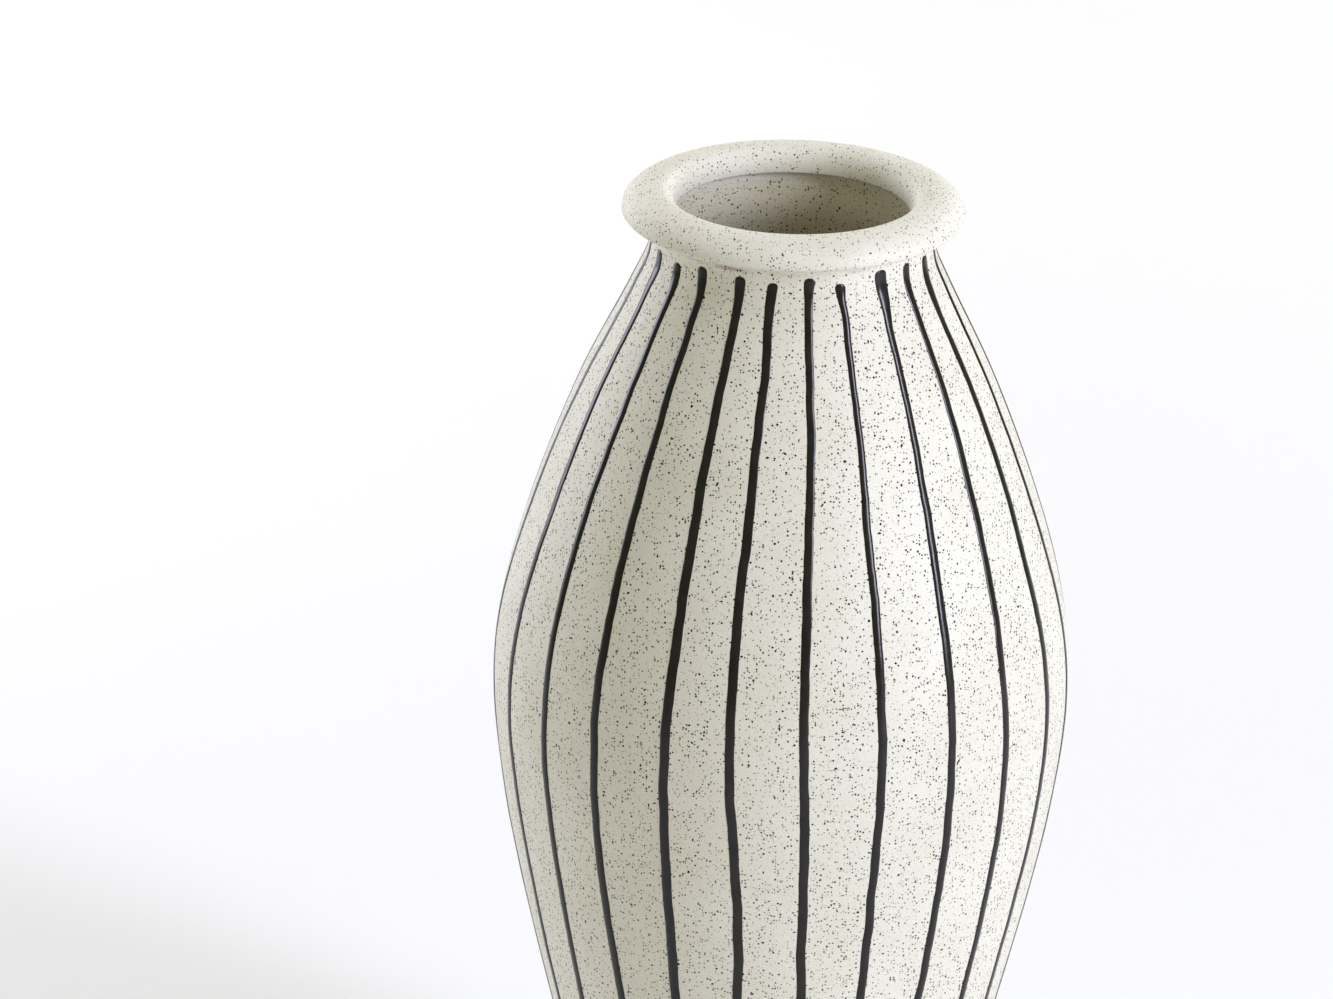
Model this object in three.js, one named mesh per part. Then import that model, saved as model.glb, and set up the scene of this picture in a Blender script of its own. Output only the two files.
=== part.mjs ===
// Stoneware vase with a rolled rim and raised black slip lines.
// Millimetres, +Z up. The origin is on the axis, on the surface that the foot stands on.
// Angles are degrees around the axis, 0 at the front (-Y) and positive towards +X.
import * as THREE from "three";

// Driving dimensions
const HEIGHT = 400;
const WALL_THICKNESS = 5;
const GAP = 0.3; // clearance between neighbouring pieces
const SIDES = 48; // facets around each turned piece
const LEVELS = 16; // even facet rows up the wall
const NECK_LEVELS = [371, 377, 382]; // extra levels where the neck bends

// Outside of the wall, [height, radius]: foot, straight lower flank, belly, shoulder and neck
const SHAPE = [
  [0, 53], [80, 72], [150, 88.5], [185, 95.2], [220, 98.7], [250, 96.5],
  [300, 82.5], [340, 66.5], [368, 53], [379, 48.5], [388, 48],
];

const FOOT = { height: 4, innerRadius: 41, bottomRadius: 51.5, edge: 1.5 };
const SLAB_THICKNESS = 7;
const RIM = {
  core: 46.2, // radius of the middle of the roll
  outward: 11.8,
  inward: 6.6,
  above: 7.2, // from the fattest level of the roll up to its top
  below: 4.8, // and down to the seam at the neck
  throatDrop: 1, // how much lower the roll is fattest on its inner side
  nose: { reach: 3, drop: 2.1 }, // small round that leads from the fattest level to the sloped underside
};
const FOOT_TONGUE = { inner: 50.2, outer: 52.4, height: 2.5 };
const NECK_TONGUE = { inner: 43.9, outer: 46.1, height: 3 };
const LINER = { thickness: 0.8, top: 386 };

const LINE = { width: 3.2, height: 0.9, crown: 0.5, foot: 14, tip: 1.2, tipScale: 0.6 };
const LINE_COUNT = 24;

// The lines are spaced evenly from the far left one, and each wavers a little around its place
const FIRST_ANGLE = -83.5;
const LINE_SPACING = 360 / LINE_COUNT;
const WAVER = { slow: 0.8, slowLength: 45, quick: 0.4, quickLength: 19, frontShare: 0.4 };

// Degrees by which each front line strays from its place: at the rim, at the belly and low down
const STRAY_HEIGHTS = { rim: 385, belly: 250, low: 140 };
const FRONT_STRAYS = [
  [0.5, -2.5, 0.5], [1, -1, 1], [1, -0.5, 0.5], [0, -0.5, 0.5], [3, 0.5, 1], [1, -1, 0.5],
  [0, -1.5, 0], [-1, -1.5, -1], [2, -0.5, -1], [1.5, -0.5, 0], [0.5, 0, 0],
];

// How far below the rim each line starts; the list repeats around the vase
const LINE_DROPS = [4, 4.5, 5, 3, 3.5, 4.5, 2.5, 5, 2.5, 3, 4];

// Levels that several pieces share
const rimUnderside = HEIGHT - RIM.above - RIM.below;
const wallTop = rimUnderside - GAP;
const wallBottom = FOOT.height + GAP;
const slabTop = wallBottom + SLAB_THICKNESS;

const stoneware = { color: 0xe4dfd2, roughness: 0.85, metalness: 0 };
const glaze = { color: 0xd9d3c4, roughness: 0.35, metalness: 0 };
const blackSlip = { color: 0x2a2826, roughness: 0.45, metalness: 0 };

const shapeCurve = new THREE.CubicInterpolant(
  SHAPE.map(([height]) => height),
  SHAPE.map(([, radius]) => radius),
  1,
);

const outerRadius = (height) => shapeCurve.evaluate(height)[0];

// The thickness is measured square to the surface, so a sloping stretch is thicker when it is
// measured level.
function innerRadius(height) {
  const slope = (outerRadius(height + 1) - outerRadius(height - 1)) / 2;
  return outerRadius(height) - WALL_THICKNESS * Math.hypot(1, slope);
}

const rowHeight = (wallTop - wallBottom) / LEVELS;
const evenLevels = Array.from({ length: LEVELS + 1 }, (_, i) => wallBottom + rowHeight * i);
const wallLevels = [...evenLevels, ...NECK_LEVELS].sort((a, b) => a - b);

// Radius of the faceted wall, which is straight between its levels
function facetRadius(height, radiusAt) {
  const upper = Math.max(1, wallLevels.findIndex((level) => level >= height - 1e-6));
  const [low, high] = [wallLevels[upper - 1], wallLevels[upper]];
  return THREE.MathUtils.mapLinear(height, low, high, radiusAt(low), radiusAt(high));
}

// Points [radius, height] on a quarter of an ellipse, without its first point
function quarter(centre, reach, rise, fromDegrees, steps) {
  return Array.from({ length: steps }, (_, i) => {
    const turn = THREE.MathUtils.degToRad(fromDegrees + (90 * (i + 1)) / steps);
    return [centre[0] + reach * Math.cos(turn), centre[1] + rise * Math.sin(turn)];
  });
}

// Turns an outline of [radius, height] points, listed counter-clockwise, around the axis
function turned(name, outline, material) {
  const onAxis = outline[0][0] === 0;
  const closed = onAxis ? outline : [...outline, outline[0]];
  const points = closed.map(([radius, height]) => new THREE.Vector2(radius, height));
  const geometry = new THREE.LatheGeometry(points, SIDES).rotateX(Math.PI / 2);
  return named(name, geometry, material);
}

function named(name, geometry, material) {
  const mesh = new THREE.Mesh(geometry, new THREE.MeshStandardMaterial(material));
  mesh.name = name;
  return mesh;
}

function makeFootRing() {
  const { height, innerRadius: inside, bottomRadius, edge } = FOOT;
  return turned("foot_ring", [
    [inside, 0],
    [bottomRadius, 0],
    ...quarter([bottomRadius, edge], edge, edge, -90, 3),
    [outerRadius(height), height],
    [FOOT_TONGUE.outer, height],
    [FOOT_TONGUE.outer, height + FOOT_TONGUE.height],
    [FOOT_TONGUE.inner, height + FOOT_TONGUE.height],
    [FOOT_TONGUE.inner, height],
    [inside, height],
  ], stoneware);
}

function makeBaseSlab() {
  return turned("base_slab", [
    [0, wallBottom],
    [facetRadius(wallBottom, innerRadius) - GAP, wallBottom],
    [facetRadius(slabTop, innerRadius) - GAP, slabTop],
    [0, slabTop],
  ], stoneware);
}

function makeWall() {
  const outside = wallLevels.map((level) => [outerRadius(level), level]);
  const inside = wallLevels.map((level) => [innerRadius(level), level]).reverse();
  const grooveTop = wallBottom + FOOT_TONGUE.height + GAP;
  return turned("body_wall", [
    ...outside,
    [NECK_TONGUE.outer, wallTop],
    [NECK_TONGUE.outer, wallTop + NECK_TONGUE.height],
    [NECK_TONGUE.inner, wallTop + NECK_TONGUE.height],
    [NECK_TONGUE.inner, wallTop],
    ...inside,
    [FOOT_TONGUE.inner - GAP, wallBottom],
    [FOOT_TONGUE.inner - GAP, grooveTop],
    [FOOT_TONGUE.outer + GAP, grooveTop],
    [FOOT_TONGUE.outer + GAP, wallBottom],
  ], stoneware);
}

function makeRim() {
  const { core, outward, inward, above, throatDrop, nose } = RIM;
  const middle = HEIGHT - above;
  const noseCentre = [core + outward - nose.reach, middle];
  const grooveTop = wallTop + NECK_TONGUE.height + GAP;
  return turned("rolled_rim", [
    [outerRadius(wallTop), rimUnderside],
    [noseCentre[0], middle - nose.drop],
    ...quarter(noseCentre, nose.reach, nose.drop, -90, 4),
    ...quarter([core, middle], outward, above, 0, 5),
    ...quarter([core, middle - throatDrop], inward, above + throatDrop, 90, 5),
    [innerRadius(wallTop), rimUnderside],
    [NECK_TONGUE.inner - GAP, rimUnderside],
    [NECK_TONGUE.inner - GAP, grooveTop],
    [NECK_TONGUE.outer + GAP, grooveTop],
    [NECK_TONGUE.outer + GAP, rimUnderside],
  ], stoneware);
}

// Thin waterproof coat over the floor and the inside of the wall
function makeInnerGlaze() {
  const floor = slabTop + GAP;
  const outsideRadius = (level) => facetRadius(level, innerRadius) - GAP;
  const insideRadius = (level) => outsideRadius(level) - LINER.thickness;
  const between = wallLevels.filter((level) => level > floor + LINER.thickness && level < LINER.top);
  return turned("inner_glaze", [
    [0, floor],
    ...[floor, ...between, LINER.top].map((level) => [outsideRadius(level), level]),
    ...[LINER.top, ...between.toReversed()].map((level) => [insideRadius(level), level]),
    [insideRadius(floor + LINER.thickness), floor + LINER.thickness],
    [0, floor + LINER.thickness],
  ], glaze);
}

// How far a front line strays at a height, eased between its three given heights
function frontStray([atRim, atBelly, atLow], height) {
  const { rim, belly, low } = STRAY_HEIGHTS;
  const above = THREE.MathUtils.smoothstep(height, belly, rim);
  const below = THREE.MathUtils.smoothstep(height, low, belly);
  return height > belly
    ? THREE.MathUtils.lerp(atBelly, atRim, above)
    : THREE.MathUtils.lerp(atLow, atBelly, below);
}

// Two slow waves, which differ from line to line
function waver(index, height) {
  const slow = WAVER.slow * Math.sin(height / WAVER.slowLength + 2.1 * index);
  const quick = WAVER.quick * Math.sin(height / WAVER.quickLength + 4.7 * index);
  return slow + quick;
}

function lineAngle(index, height) {
  const place = FIRST_ANGLE + LINE_SPACING * index;
  const strays = FRONT_STRAYS[index];
  return strays
    ? place + frontStray(strays, height) + WAVER.frontShare * waver(index, height)
    : place + waver(index, height);
}

// One level cut through a line: a flat back against the wall and a narrower crown
function lineSection(index, height, scale) {
  const back = facetRadius(height, outerRadius) + GAP;
  const middle = THREE.MathUtils.degToRad(lineAngle(index, height));
  const corners = [
    [0.5, 0], [-0.5, 0], [-LINE.crown / 2, LINE.height], [LINE.crown / 2, LINE.height],
  ];
  return corners.map(([across, out]) => {
    const radius = back + out * scale;
    const angle = middle + (across * LINE.width * scale) / back;
    return [radius * Math.sin(angle), -radius * Math.cos(angle), height];
  });
}

// Joins level cuts into one closed body, from the bottom cut to the top one
function joinSections(sections) {
  const corners = sections[0].length;
  const indices = [];
  for (let row = 0; row + 1 < sections.length; row += 1) {
    for (let corner = 0; corner < corners; corner += 1) {
      const next = (corner + 1) % corners;
      const [a, b] = [row * corners + corner, row * corners + next];
      indices.push(a, b, b + corners, a, b + corners, a + corners);
    }
  }
  const last = (sections.length - 1) * corners;
  for (let corner = 1; corner + 1 < corners; corner += 1) {
    indices.push(0, corner + 1, corner);
    indices.push(last, last + corner, last + corner + 1);
  }
  const geometry = new THREE.BufferGeometry();
  geometry.setAttribute("position", new THREE.Float32BufferAttribute(sections.flat(2), 3));
  geometry.setIndex(indices);
  return geometry;
}

function makeLine(index) {
  const top = rimUnderside - LINE_DROPS[index % LINE_DROPS.length];
  const between = wallLevels.filter((level) => level > LINE.foot + 2 * LINE.tip);
  const full = between.filter((level) => level < top - 2 * LINE.tip);
  const sections = [
    lineSection(index, LINE.foot, LINE.tipScale),
    ...[LINE.foot + LINE.tip, ...full, top - LINE.tip].map((level) => lineSection(index, level, 1)),
    lineSection(index, top, LINE.tipScale),
  ];
  const number = String(index + 1).padStart(2, "0");
  return named(`slip_line_${number}`, joinSections(sections), blackSlip);
}

const vase = new THREE.Group();
vase.add(makeFootRing(), makeBaseSlab(), makeWall(), makeRim(), makeInnerGlaze());
for (let index = 0; index < LINE_COUNT; index += 1) {
  vase.add(makeLine(index));
}

export default vase;
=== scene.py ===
"""A stoneware vase with a rolled rim and raised black slip lines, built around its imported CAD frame.

Metres, +Z up, origin on the axis under the foot. The front is -Y.
"""

import math

import bpy
import numpy as np
from mathutils import Matrix, Vector, noise


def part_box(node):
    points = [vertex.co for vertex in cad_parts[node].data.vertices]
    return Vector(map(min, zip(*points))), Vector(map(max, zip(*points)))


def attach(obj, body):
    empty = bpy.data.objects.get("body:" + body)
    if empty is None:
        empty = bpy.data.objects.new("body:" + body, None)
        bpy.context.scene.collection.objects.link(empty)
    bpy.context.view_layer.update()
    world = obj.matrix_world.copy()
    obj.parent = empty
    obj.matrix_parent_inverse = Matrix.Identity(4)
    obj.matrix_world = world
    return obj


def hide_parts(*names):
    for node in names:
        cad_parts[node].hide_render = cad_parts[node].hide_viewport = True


MM = 0.001

# Fineness of the visible meshes
COLUMNS = 240
WALL_ROWS = 210
INSIDE_ROWS = 70
LINE_STEP = 1.0 * MM

# Hand-made unevenness of the turned surfaces
UNEVEN_HEIGHT = 0.22 * MM
UNEVEN_SIZE = 55 * MM

ON_AXIS = 1e-7 # a point closer than this to the axis lies on it

# Section of the rim's roll
THROAT_POWER = 2.15 # how square its inner top is: 2 is an ellipse
THROAT_DROP = 1.0 * MM # how much lower it is fattest on its inner side
TUCK = 0.6 * MM # round from the throat into the crease
NOSE_REACH = 3.2 * MM # small round under its outer edge
NOSE_DROP = 2.2 * MM
NOSE_START = -84 # degrees, where that round leaves the sloped underside
SEAM_REACH = 0.2 * MM # how far the roll stands out past the neck at the seam
SEAM_GAP = 0.05 * MM
GAP = 0.3 * MM # clearance around the tongues

# Edges of the wall and the foot
WALL_EDGE = 1.2 * MM
FOOT_EDGE = 1.5 * MM
FOOT_INNER_EDGE = 0.8 * MM

# Rings left by the ribbing tool on the underside
SLAB_RINGS = 40
RING_DEPTH = 0.06 * MM

# Glaze coat on the inside
COAT = 0.8 * MM
COAT_LIP = 0.3 * MM # its thickness at the lip
COAT_TAPER = 20 * MM # how far down it reaches its full thickness
COAT_GAP = 0.06 * MM # clearance to the wall
FLOOR_FILLET = 9 * MM # round from the wall onto the floor

# Section and ends of the slip lines
LINE_HEIGHT = 0.38 * MM
LINE_SINK = 0.2 * MM # how far the back of a line reaches into the wall
END_POWER = 2.5 # 2 ends a line in a half circle, and more makes it squarer
END_ROWS = 8
LINE_COLUMNS = 13
SEED_STEP = 7.3 # sets the noise of one line apart from the next

# Widths down the slip lines: [head width, head length, neck width, body width] in mm, one row for
# each line from the far left to the far right of the front, used again around the back
NECK_MIDDLE = 35 * MM # where a line is closest to its neck width, measured down from its top
NECK_LENGTH = 38 * MM
LINE_SHAPES = [
    [3.2, 5, 2.8, 3.2],
    [4.7, 14, 3.2, 3.6],
    [4.4, 10, 2.9, 3.3],
    [4.2, 8, 3.0, 3.4],
    [3.8, 7, 3.1, 3.5],
    [3.5, 8, 3.0, 3.3],
    [3.7, 6, 2.8, 3.2],
    [3.9, 4.5, 2.4, 3.1],
    [5.2, 13, 2.7, 3.3],
    [3.6, 9, 3.0, 3.3],
    [4.5, 14, 3.4, 3.7],
]

# Sideways wander of the lines: [reach, wavelength, place in the noise]; the middle one is looser
# near the top, where the hand starts
WANDERS = [
    [0.50 * MM, 30 * MM, 9.1],
    [0.35 * MM, 11 * MM, 2.7],
    [0.12 * MM, 4 * MM, 5.2],
]
LOOSE_START = 1.6
LOOSE_LENGTH = 20 * MM

# Colours: the fired clay, and how its bare and glazed parts, patches and sand grains differ from it
CLAY = (0.80, 0.775, 0.68)
BARE_TINT = (0.93, 0.90, 0.86)
GLAZED_TINT = (1.02, 0.98, 0.91)
LIGHT_TINT = (1.05, 1.05, 1.05)
DULL_TINT = (0.99, 0.985, 0.955)
SANDY_TINT = (0.87, 0.86, 0.83, 1)
STAIN_BROWN = (0.32, 0.21, 0.12, 1)
IRON_BROWN = (0.07, 0.045, 0.028, 1)
IRON_BLACK = (0.010, 0.008, 0.006, 1)
SLIP_BLACK = (0.010, 0.009, 0.008, 1)
SLIP_WORN = (0.017, 0.0155, 0.0135, 1)

# Iron specks in the clay: [spacing, smallest radius, largest radius, share of places, darkness]
SPECKS = [
    [0.80 * MM, 0.15 * MM, 0.23 * MM, 0.26, 0.95],
    [1.00 * MM, 0.22 * MM, 0.34 * MM, 0.32, 1.00],
    [3.20 * MM, 0.32 * MM, 0.44 * MM, 0.40, 1.00],
]
SPECK_EDGE = 0.02 * MM

# Stain on both sides of the rim's seam: heights of its two strips, and where it is darkest
WALL_STAIN = 386.7 * MM
RIM_STAIN = 390.8 * MM
SPOT_ANGLE = -25 # degrees from the front
SPOT_RADIUS = 52 * MM # distance of that spot from the axis

# Camera: its place in metres, and a lens in millimetres on a sensor 36 mm wide
CAMERA_PLACE = Vector((0.0, -2.533, 1.308))
CAMERA_YAW = math.radians(-0.92)
CAMERA_PITCH = math.radians(21.97)
CAMERA_ROLL = math.radians(1.2)
LENS = 216

# Light: cool and neutral lamps around a point on the axis, in a warm room
LAMP_DISTANCE = 2.2
LAMP_AIM = Vector((0, 0, 0.25))
COOL = (0.77, 0.80, 1.0)
NEUTRAL = (0.94, 0.94, 1.0)
WARM = (1.0, 0.95, 0.60)
WORLD_STRENGTH = 0.315

# Stage
FLOOR_SIZE = 9.0
FLOOR_PALE = (0.87, 0.87, 0.87, 1)
FLOOR_DULL = (0.855, 0.855, 0.855, 1)


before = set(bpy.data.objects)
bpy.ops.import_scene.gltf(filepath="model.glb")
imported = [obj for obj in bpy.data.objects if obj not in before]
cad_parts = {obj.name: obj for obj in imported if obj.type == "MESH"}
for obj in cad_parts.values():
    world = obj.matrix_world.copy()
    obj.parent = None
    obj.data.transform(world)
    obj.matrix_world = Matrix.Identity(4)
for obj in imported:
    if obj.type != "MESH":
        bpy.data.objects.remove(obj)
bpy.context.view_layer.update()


# ---- reading the frame ----

def vertices_of(node):
    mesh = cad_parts[node].data
    points = np.empty(len(mesh.vertices) * 3)
    mesh.vertices.foreach_get("co", points)
    return points.reshape(-1, 3)


def levels_of(node):
    """[height, smallest radius, largest radius] of each level of a turned node, from the bottom."""
    points = vertices_of(node)
    radii = np.hypot(points[:, 0], points[:, 1])
    heights = np.round(points[:, 2], 5)
    return [[h, radii[heights == h].min(), radii[heights == h].max()] for h in np.unique(heights)]


def line_course(node):
    """Heights and angles, in radians from the front, of the middle of a slip line."""
    points = vertices_of(node)
    heights = np.round(points[:, 2], 5)
    course = []
    for height in np.unique(heights):
        x, y = points[heights == height][:, :2].mean(axis=0)
        course.append((height, math.atan2(x, -y)))
    heights, angles = np.array(course).T
    return heights, np.unwrap(angles)


def smooth_curve(xs, ys):
    """Natural cubic spline through the points, as a function of x."""
    xs, ys = np.asarray(xs, float), np.asarray(ys, float)
    steps = np.diff(xs)
    slopes = np.diff(ys) / steps
    count = len(xs)
    system = np.eye(count)
    right = np.zeros(count)
    for i in range(1, count - 1):
        system[i, i - 1:i + 2] = steps[i - 1], 2 * (steps[i - 1] + steps[i]), steps[i]
        right[i] = 6 * (slopes[i] - slopes[i - 1])
    bends = np.linalg.solve(system, right)

    def curve(x):
        x = np.asarray(x, float)
        i = np.clip(np.searchsorted(xs, x) - 1, 0, count - 2)
        h, a, b = steps[i], xs[i + 1] - x, x - xs[i]
        value = (bends[i] * a ** 3 + bends[i + 1] * b ** 3) / (6 * h)
        value += (ys[i] / h - bends[i] * h / 6) * a
        return value + (ys[i + 1] / h - bends[i + 1] * h / 6) * b

    return curve


WALL_LEVELS = levels_of("body_wall")
# The wall's own levels hold both its faces, so they are wider than its tongue and groove
FULL_LEVELS = [level for level in WALL_LEVELS if level[2] - level[1] > 4 * MM]
NECK_TONGUE = WALL_LEVELS[-1]
FOOT_GROOVE = [level for level in WALL_LEVELS if level not in FULL_LEVELS][0]
WALL_BOTTOM, WALL_TOP = FULL_LEVELS[0][0], FULL_LEVELS[-1][0]
outer_radius = smooth_curve([level[0] for level in FULL_LEVELS], [level[2] for level in FULL_LEVELS])
inner_radius = smooth_curve([level[0] for level in FULL_LEVELS], [level[1] for level in FULL_LEVELS])
LINE_COUNT = sum(1 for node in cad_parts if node.startswith("slip_line_"))


# ---- mesh making ----

def arc(centre, reach, rise, start, end, count, power=2.0):
    """Points on part of an ellipse, or of a squarer shape where power is above 2."""
    points = []
    for turn in np.radians(np.linspace(start, end, count)):
        c, s = math.cos(turn), math.sin(turn)
        across = math.copysign(abs(c) ** (2 / power), c)
        up = math.copysign(abs(s) ** (2 / power), s)
        points.append((centre[0] + reach * across, centre[1] + rise * up))
    return points


def uneven(point):
    """How far a hand-made surface stands out or in at a point."""
    slow = noise.noise(Vector(point) / UNEVEN_SIZE)
    quick = noise.noise(Vector(point) / (UNEVEN_SIZE / 3) + Vector((5, 1, 3)))
    return UNEVEN_HEIGHT * (slow + 0.3 * quick)


def mesh_object(name, points, faces, sharp_angle=40):
    mesh = bpy.data.meshes.new(name)
    mesh.from_pydata(points, [], faces)
    mesh.validate()
    mesh.shade_smooth()
    mesh.set_sharp_from_angle(angle=math.radians(sharp_angle))
    piece = bpy.data.objects.new(name, mesh)
    bpy.context.scene.collection.objects.link(piece)
    return piece


def turned(name, outline, columns=COLUMNS, by_hand=0.0):
    """Turns an outline of (radius, height) points around the axis.

    The outline runs counter-clockwise and closes on itself, or starts and ends on the axis.
    """
    points, faces, rings = [], [], []
    turns = np.linspace(0, 2 * math.pi, columns, endpoint=False)
    for radius, height in outline:
        if radius < ON_AXIS:
            rings.append([len(points)] * columns)
            points.append((0, 0, height))
            continue
        rings.append(list(range(len(points), len(points) + columns)))
        for turn in turns:
            x, y = math.sin(turn), -math.cos(turn)
            far = radius + by_hand * uneven((radius * x, radius * y, height))
            points.append((far * x, far * y, height))
    pairs = list(zip(rings, rings[1:]))
    if outline[0][0] > ON_AXIS:
        pairs.append((rings[-1], rings[0]))
    for low, high in pairs:
        for i in range(columns):
            j = (i + 1) % columns
            corners = list(dict.fromkeys((low[i], low[j], high[j], high[i])))
            if len(corners) > 2:
                faces.append(corners)
    return mesh_object(name, points, faces)


def stand_for(piece, node, material):
    piece.data.materials.append(material)
    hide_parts(node)
    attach(piece, "root")
    return piece


# ---- materials ----

class Shader:
    """Short forms for building a material's nodes."""

    def __init__(self, name):
        self.material = bpy.data.materials.new(name)
        self.material.use_nodes = True
        self.tree = self.material.node_tree
        self.surface = self.tree.nodes["Principled BSDF"]
        self.place = self.tree.nodes.new("ShaderNodeTexCoord").outputs["Object"]

    def node(self, kind, inputs=None, **settings):
        made = self.tree.nodes.new(kind)
        for key, value in settings.items():
            setattr(made, key, value)
        for key, value in (inputs or {}).items():
            self.put(made.inputs[key], value)
        return made

    def put(self, socket, value):
        if isinstance(value, bpy.types.NodeSocket):
            self.tree.links.new(value, socket)
        else:
            socket.default_value = value

    def math(self, operation, *values, clamp=False):
        made = self.node("ShaderNodeMath", operation=operation, use_clamp=clamp)
        for socket, value in zip(made.inputs, values):
            self.put(socket, value)
        return made.outputs[0]

    def vector(self, operation, *values):
        made = self.node("ShaderNodeVectorMath", operation=operation)
        for key, value in enumerate(values):
            if operation == "SCALE" and key == 1:
                key = "Scale"
            self.put(made.inputs[key], value)
        return made.outputs[0]

    def noise(self, size, detail=2.0, roughness=0.5, place=None):
        return self.node(
            "ShaderNodeTexNoise",
            {"Vector": place or self.place, "Scale": 1 / size, "Detail": detail,
             "Roughness": roughness},
        )

    def spread(self, value, low, high, to_low=0.0, to_high=1.0):
        """Maps low..high to to_low..to_high, and no further."""
        made = self.node(
            "ShaderNodeMapRange",
            {"Value": value, "From Min": low, "From Max": high, "To Min": to_low,
             "To Max": to_high},
        )
        return made.outputs["Result"]

    def mix(self, share, first, second, blend="MIX"):
        made = self.node("ShaderNodeMix", data_type="RGBA", blend_type=blend)
        self.put(made.inputs[0], share)
        self.put(made.inputs[6], first)
        self.put(made.inputs[7], second)
        return made.outputs[2]

    def bump(self, height, distance, strength=1.0):
        made = self.node(
            "ShaderNodeBump", {"Height": height, "Distance": distance, "Strength": strength}
        )
        self.put(self.surface.inputs["Normal"], made.outputs["Normal"])

    def finish(self, color, roughness):
        self.put(self.surface.inputs["Base Color"], color)
        self.put(self.surface.inputs["Roughness"], roughness)
        return self.material


def speck_layer(shader, place, spacing, smallest, largest, share, crowd):
    """Specks scattered through the clay: how dark each point is, and a random value per speck."""
    cells = shader.node(
        "ShaderNodeTexVoronoi", {"Vector": place, "Scale": 1 / spacing, "Randomness": 1.0}
    )
    draw = shader.node("ShaderNodeSeparateColor", {"Color": cells.outputs["Color"]})
    radius = shader.spread(draw.outputs[0], 1 - share, 1, smallest / spacing, largest / spacing)
    radius = shader.math("MULTIPLY", radius, crowd)
    depth = shader.math("SUBTRACT", radius, cells.outputs["Distance"])
    mask = shader.spread(depth, 0, SPECK_EDGE / spacing)
    present = shader.math("GREATER_THAN", draw.outputs[0], 1 - share)
    return shader.math("MULTIPLY", mask, present), draw.outputs[1]


def seam_stain(shader, color, middle):
    """Brown clay slip drawn out in a level strip along the seam, strongest in one spot."""
    height = shader.node("ShaderNodeSeparateXYZ", {"Vector": shader.place}).outputs["Z"]
    away = shader.math("ABSOLUTE", shader.math("SUBTRACT", height, middle))
    strip = shader.spread(away, 0.2 * MM, 1.0 * MM, 1, 0)
    patch = shader.spread(shader.noise(5 * MM, detail=3.0).outputs["Fac"], 0.45, 0.75, 0.03, 0.35)
    turn = math.radians(SPOT_ANGLE)
    centre = (SPOT_RADIUS * math.sin(turn), -SPOT_RADIUS * math.cos(turn), middle)
    far = shader.node("ShaderNodeVectorMath", operation="DISTANCE")
    shader.put(far.inputs[0], shader.place)
    shader.put(far.inputs[1], centre)
    spot = shader.spread(far.outputs["Value"], 4 * MM, 9 * MM, 0.6, 0)
    share = shader.math("MULTIPLY", strip, shader.math("ADD", patch, spot), clamp=True)
    return shader.mix(share, color, STAIN_BROWN)


def tinted(color, tint):
    return tuple(part * share for part, share in zip(color, tint))


def stoneware(name, clay, roughness, speck_size=1.0, stain_height=None):
    shader = Shader(name)
    warp = shader.noise(0.5 * MM, detail=1.0).outputs["Color"]
    warp = shader.vector("SUBTRACT", warp, (0.5, 0.5, 0.5))
    place = shader.vector("ADD", shader.place, shader.vector("SCALE", warp, 0.35 * MM))

    # Clay body: broad warm and cool patches, with a sandy grain
    patch = shader.noise(30 * MM, detail=3.0).outputs["Fac"]
    light = (*tinted(clay, LIGHT_TINT), 1)
    dull = (*tinted(clay, DULL_TINT), 1)
    color = shader.mix(shader.spread(patch, 0.35, 0.65), light, dull)
    sand = shader.noise(0.55 * MM, detail=2.0, roughness=0.7).outputs["Fac"]
    share = shader.spread(sand, 0.44, 0.68)
    color = shader.mix(share, color, shader.mix(1.0, color, SANDY_TINT, "MULTIPLY"))

    if stain_height:
        color = seam_stain(shader, color, stain_height)

    # Iron specks of three sizes, a little crowded in places
    crowd = shader.spread(shader.noise(14 * MM, detail=2.0).outputs["Fac"], 0.3, 0.7, 0.93, 1.07)
    crowd = shader.math("MULTIPLY", crowd, speck_size)
    specked = 0.0
    for spacing, smallest, largest, share, darkness in SPECKS:
        mask, draw = speck_layer(shader, place, spacing, smallest, largest, share, crowd)
        specked = shader.math("MAXIMUM", specked, mask)
        speck = shader.mix(shader.spread(draw, 0.7, 1.1), IRON_BLACK, IRON_BROWN)
        color = shader.mix(shader.math("MULTIPLY", mask, darkness), color, speck)

    # Iron burns out matt in the fired clay
    shader.put(shader.surface.inputs["Specular IOR Level"], shader.spread(specked, 0, 1, 0.5, 0.05))
    rough = shader.spread(sand, 0.3, 0.7, roughness - 0.06, roughness + 0.06)
    tooth = shader.noise(0.8 * MM, detail=3.0, roughness=0.6).outputs["Fac"]
    shader.bump(tooth, 0.03 * MM, 0.6)
    return shader.finish(color, rough)


def black_slip():
    shader = Shader("black_slip")
    patch = shader.noise(6 * MM, detail=3.0).outputs["Fac"]
    color = shader.mix(shader.spread(patch, 0.35, 0.7), SLIP_BLACK, SLIP_WORN)
    rough = shader.spread(shader.noise(3 * MM, detail=3.0).outputs["Fac"], 0.3, 0.7, 0.16, 0.24)
    shader.put(shader.surface.inputs["Specular IOR Level"], 0.34)
    skin = shader.noise(1.6 * MM, detail=2.0).outputs["Fac"]
    shader.bump(skin, 0.05 * MM, 0.5)
    return shader.finish(color, rough)


def plain_floor():
    shader = Shader("floor")
    patch = shader.noise(0.6, detail=2.0).outputs["Fac"]
    color = shader.mix(shader.spread(patch, 0.3, 0.7), FLOOR_PALE, FLOOR_DULL)
    return shader.finish(color, 0.7)


# ---- pieces ----

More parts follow.
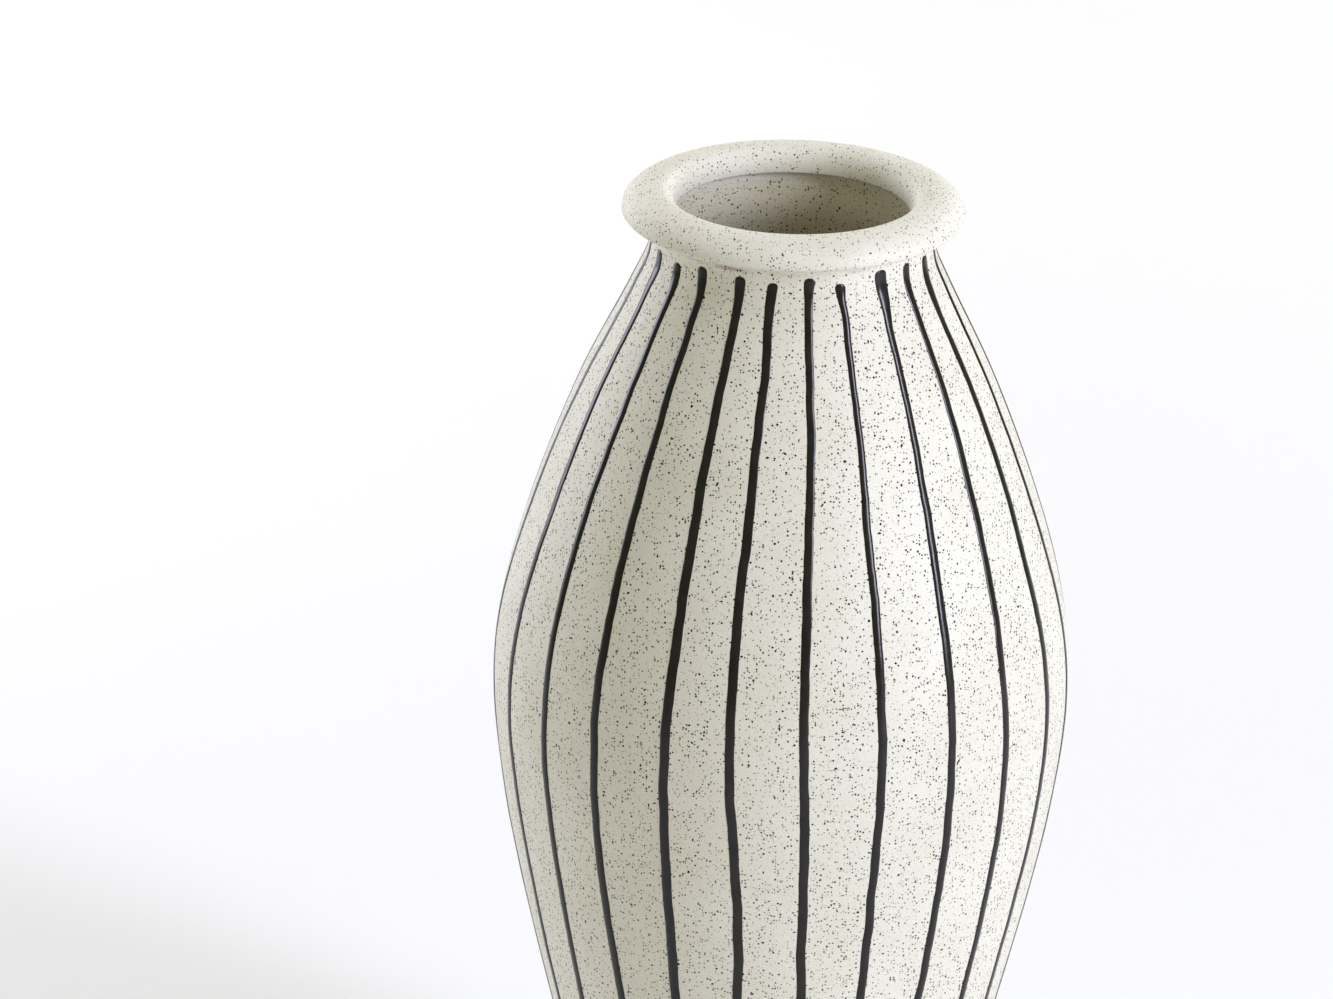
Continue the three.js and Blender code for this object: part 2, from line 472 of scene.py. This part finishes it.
def make_wall(material):
    foot_radius = float(outer_radius(WALL_BOTTOM))
    heights = np.linspace(WALL_BOTTOM + WALL_EDGE, WALL_TOP, WALL_ROWS)
    outside = list(zip(outer_radius(heights), heights))
    inside_heights = np.linspace(WALL_TOP, WALL_BOTTOM, INSIDE_ROWS)
    inside = list(zip(inner_radius(inside_heights), inside_heights))
    tongue_top, tongue_in, tongue_out = NECK_TONGUE
    groove_top, groove_in, groove_out = FOOT_GROOVE
    top = WALL_TOP
    corner = (foot_radius - WALL_EDGE, WALL_BOTTOM + WALL_EDGE)
    outline = arc(corner, WALL_EDGE, WALL_EDGE, -90, 0, 5)[:-1]
    outline += outside
    outline += [(tongue_out, top), (tongue_out, tongue_top), (tongue_in, tongue_top), (tongue_in, top)]
    outline += inside
    outline += [(groove_in, WALL_BOTTOM), (groove_in, groove_top), (groove_out, groove_top),
                (groove_out, WALL_BOTTOM)]
    piece = turned("vase_wall", outline, by_hand=1.0)
    return stand_for(piece, "body_wall", material)


def make_rim(material):
    levels = levels_of("rolled_rim")
    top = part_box("rolled_rim")[1].z
    middle, reach = max(((level[0], level[2]) for level in levels), key=lambda level: level[1])
    throat = min(level[1] for level in levels)
    core = levels[-1][2]
    crease = middle - THROAT_DROP
    under = WALL_TOP + SEAM_GAP
    nose = (reach - NOSE_REACH, middle)
    neck_inside = float(inner_radius(WALL_TOP)) - COAT_LIP
    tongue_top, tongue_in, tongue_out = NECK_TONGUE
    outline = [(float(outer_radius(WALL_TOP)) + SEAM_REACH, under)]
    outline += arc(nose, NOSE_REACH, NOSE_DROP, NOSE_START, 0, 16)
    outline += arc((core, middle), reach - core, top - middle, 0, 90, 30)[1:]
    outline += arc((core, crease), core - throat, top - crease, 90, 180, 26, THROAT_POWER)[1:]
    outline += arc((throat + TUCK, crease), TUCK, TUCK, 180, 265, 7)[1:]
    outline += [(neck_inside, crease - TUCK), (neck_inside, under), (tongue_in - GAP, under),
                (tongue_in - GAP, tongue_top + GAP), (tongue_out + GAP, tongue_top + GAP),
                (tongue_out + GAP, under)]
    piece = turned("rim_roll", outline, by_hand=1.0)
    return stand_for(piece, "rolled_rim", material)


def make_inner_glaze(material):
    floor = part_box("inner_glaze")[0].z
    back_heights = np.linspace(floor, WALL_TOP, INSIDE_ROWS)
    back = [(float(inner_radius(h)) - COAT_GAP, h) for h in back_heights]
    face = []
    for h in np.linspace(WALL_TOP, floor + COAT + FLOOR_FILLET, INSIDE_ROWS):
        thin = COAT_LIP + (COAT - COAT_LIP) * min(1, (WALL_TOP - h) / COAT_TAPER)
        face.append((float(inner_radius(h)) - thin, h))
    corner = face[-1]
    bend = arc((corner[0] - FLOOR_FILLET, corner[1]), FLOOR_FILLET, FLOOR_FILLET, 0, -90, 10)[1:]
    outline = [(0, floor)] + back + face + bend + [(0, floor + COAT)]
    piece = turned("glaze_coat", outline)
    return stand_for(piece, "inner_glaze", material)


def make_base_slab(material):
    low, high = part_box("base_slab")
    bottom, top = levels_of("base_slab")[0], levels_of("base_slab")[-1]
    rings = []
    for i in range(1, SLAB_RINGS):
        radius = bottom[2] * i / (SLAB_RINGS + 1)
        rings.append((radius, low.z + RING_DEPTH * (1 + math.sin(i * 2.1)) * 0.5))
    outline = [(0, low.z)] + rings + [(bottom[2], low.z), (top[2], high.z), (0, high.z)]
    piece = turned("vase_floor", outline, by_hand=0.3)
    return stand_for(piece, "base_slab", material)


def make_foot_ring(material):
    levels = levels_of("foot_ring")
    tongue_top, tongue_in, tongue_out = levels[-1]
    shoulder = [level for level in levels if level[0] < tongue_top - 1 * MM][-1]
    inside = levels[0][1]
    foot = levels[0][2]
    inner_corner = (inside + FOOT_INNER_EDGE, FOOT_INNER_EDGE)
    outline = arc(inner_corner, FOOT_INNER_EDGE, FOOT_INNER_EDGE, 180, 270, 6)
    outline += arc((foot, FOOT_EDGE), FOOT_EDGE, FOOT_EDGE, -90, 0, 10)
    outline += [(shoulder[2], shoulder[0]), (tongue_out, shoulder[0]), (tongue_out, tongue_top),
                (tongue_in, tongue_top), (tongue_in, shoulder[0]), (inside, shoulder[0])]
    piece = turned("foot", outline, by_hand=0.5)
    return stand_for(piece, "foot_ring", material)


def line_width(shape, along, seed):
    """Width of a slip line at a distance down from its top end."""
    head, head_length, neck, body = (value * MM for value in shape)
    width = body + (neck - body) * math.exp(-((along - NECK_MIDDLE) / NECK_LENGTH) ** 2)
    width += (head - width) * math.exp(-((along / head_length) ** 3))
    wobble = noise.noise(Vector((along / (9 * MM), seed, 0.5)))
    wobble += 0.6 * noise.noise(Vector((along / (3 * MM), seed, 4.5)))
    return width * (1 + 0.07 * wobble)


def line_wander(along, seed):
    """How far a slip line strays sideways at a distance down from its top end."""
    looseness = 1 + LOOSE_START * math.exp(-along / LOOSE_LENGTH)
    wander = 0.0
    for (reach, length, row), loose in zip(WANDERS, (1, looseness, 1)):
        wander += reach * loose * noise.noise(Vector((along / length, seed, row)))
    return wander


def line_steps(length, half_width):
    """Distances down from the top end of a line to its sections, closer together at both ends."""
    ends = [half_width * (1 - math.cos(t)) for t in np.linspace(0.12, math.pi / 2, END_ROWS)]
    middle = np.arange(ends[-1] + LINE_STEP, length - ends[-1], LINE_STEP)
    return ends + list(middle) + [length - end for end in reversed(ends)]


def line_section(height, angle, wander, width, fat):
    """Points of one section of a line: a low dome on the wall, and a back sunk into it."""
    wall = float(outer_radius(height))
    slope = float(outer_radius(height + MM) - outer_radius(height - MM)) / (2 * MM)
    tilt = math.hypot(1, slope)
    across = np.cos(np.linspace(0, math.pi, LINE_COLUMNS))
    section = [(t, fat * (1 - t * t) ** 0.75) for t in across]
    section += [(-0.96, -LINE_SINK), (0.96, -LINE_SINK)]
    points = []
    for t, out in section:
        turn = angle + (wander + t * width / 2) / wall
        x, y = math.sin(turn), -math.cos(turn)
        radius = wall + uneven((wall * x, wall * y, height)) + out / tilt
        points.append((radius * x, radius * y, height - out * slope / tilt))
    return points


def joined(sections):
    """Points and faces of a closed strip through the sections."""
    points = [point for section in sections for point in section]
    count, rows = len(sections[0]), len(sections)
    faces = []
    for row in range(rows - 1):
        for i in range(count):
            j = (i + 1) % count
            a, b = row * count, (row + 1) * count
            faces.append((a + i, a + j, b + j, b + i))
    faces.append(tuple(reversed(range(count))))
    faces.append(tuple(range((rows - 1) * count, rows * count)))
    return points, faces


def make_line(index, material):
    node = f"slip_line_{index + 1:02d}"
    heights, angles = line_course(node)
    bottom, top = heights[0], heights[-1]
    angle_at = smooth_curve(heights[1:-1], angles[1:-1])
    shape = LINE_SHAPES[index % len(LINE_SHAPES)]
    seed = SEED_STEP * index
    half = shape[0] * MM / 2
    sections = []
    for along in line_steps(top - bottom, half):
        height = top - along
        to_end = min(along, top - bottom - along)
        blunt = (1 - (1 - min(1, to_end / half)) ** END_POWER) ** (1 / END_POWER)
        width = line_width(shape, along, seed) * blunt
        swell = 1 + 0.2 * noise.noise(Vector((along / (20 * MM), seed, 6)))
        fat = LINE_HEIGHT * blunt ** 0.7 * swell
        angle = float(angle_at(height))
        sections.append(line_section(height, angle, line_wander(along, seed), width, fat))
    points, faces = joined(sections)
    piece = mesh_object(f"line_{index + 1:02d}", points, faces, sharp_angle=60)
    return stand_for(piece, node, material)


# ---- stage ----

def make_floor():
    far = FLOOR_SIZE
    points = [(-far, -far, 0), (far, -far, 0), (far, far, 0), (-far, far, 0)]
    floor = mesh_object("floor", points, [(0, 1, 2, 3)])
    floor.data.materials.append(plain_floor())


def make_camera():
    forward = Vector((
        math.sin(CAMERA_YAW) * math.cos(CAMERA_PITCH),
        math.cos(CAMERA_YAW) * math.cos(CAMERA_PITCH),
        -math.sin(CAMERA_PITCH),
    ))
    level = forward.cross(Vector((0, 0, 1))).normalized()
    upright = level.cross(forward)
    right = math.cos(CAMERA_ROLL) * level + math.sin(CAMERA_ROLL) * upright
    up = -math.sin(CAMERA_ROLL) * level + math.cos(CAMERA_ROLL) * upright
    camera = bpy.data.objects.new("camera", bpy.data.cameras.new("camera"))
    turn = Matrix((right, up, -forward)).transposed().to_4x4()
    camera.matrix_world = Matrix.Translation(CAMERA_PLACE) @ turn
    camera.data.lens = LENS
    camera.data.sensor_width = 36
    camera.data.clip_end = 50
    bpy.context.scene.collection.objects.link(camera)
    bpy.context.scene.camera = camera


def add_lamp(name, azimuth, elevation, size, power, color):
    """A soft lamp of a width and a height, in watts. Azimuth is from the front, positive to the right."""
    turn, lift = math.radians(azimuth), math.radians(elevation)
    away = Vector((
        math.sin(turn) * math.cos(lift), -math.cos(turn) * math.cos(lift), math.sin(lift),
    ))
    data = bpy.data.lights.new(name, "AREA")
    data.shape = "RECTANGLE"
    data.size, data.size_y = size
    data.energy = power
    data.color = color
    lamp = bpy.data.objects.new(name, data)
    lamp.location = LAMP_AIM + away * LAMP_DISTANCE
    lamp.rotation_euler = away.to_track_quat("Z", "Y").to_euler()
    bpy.context.scene.collection.objects.link(lamp)


def make_lights():
    add_lamp("key", 57, 20, (0.42, 1.3), 41, COOL)
    add_lamp("back_right", 150, 20, (1.1, 1.1), 12.5, NEUTRAL)
    add_lamp("back_left", -150, 20, (1.1, 1.1), 13.5, NEUTRAL)
    add_lamp("left", -122, 11, (1.1, 1.1), 22, COOL)
    add_lamp("top", 0, 88, (1.8, 1.8), 20, COOL)
    world = bpy.data.worlds.new("studio")
    world.use_nodes = True
    background = world.node_tree.nodes["Background"]
    background.inputs["Color"].default_value = (*WARM, 1)
    background.inputs["Strength"].default_value = WORLD_STRENGTH
    bpy.context.scene.world = world
    bpy.context.scene.view_settings.view_transform = "Standard"


make_camera()
body_clay = stoneware("stoneware", CLAY, 0.56, speck_size=1.12, stain_height=WALL_STAIN)
rim_clay = stoneware("rim_stoneware", CLAY, 0.56, speck_size=0.97, stain_height=RIM_STAIN)
bare_clay = stoneware("bare_stoneware", tinted(CLAY, BARE_TINT), 0.85)
inside_clay = stoneware("glazed_inside", tinted(CLAY, GLAZED_TINT), 0.55, speck_size=1.12)
make_wall(body_clay)
make_rim(rim_clay)
make_inner_glaze(inside_clay)
make_base_slab(bare_clay)
make_foot_ring(bare_clay)
slip = black_slip()
for line in range(LINE_COUNT):
    make_line(line, slip)
make_floor()
make_lights()
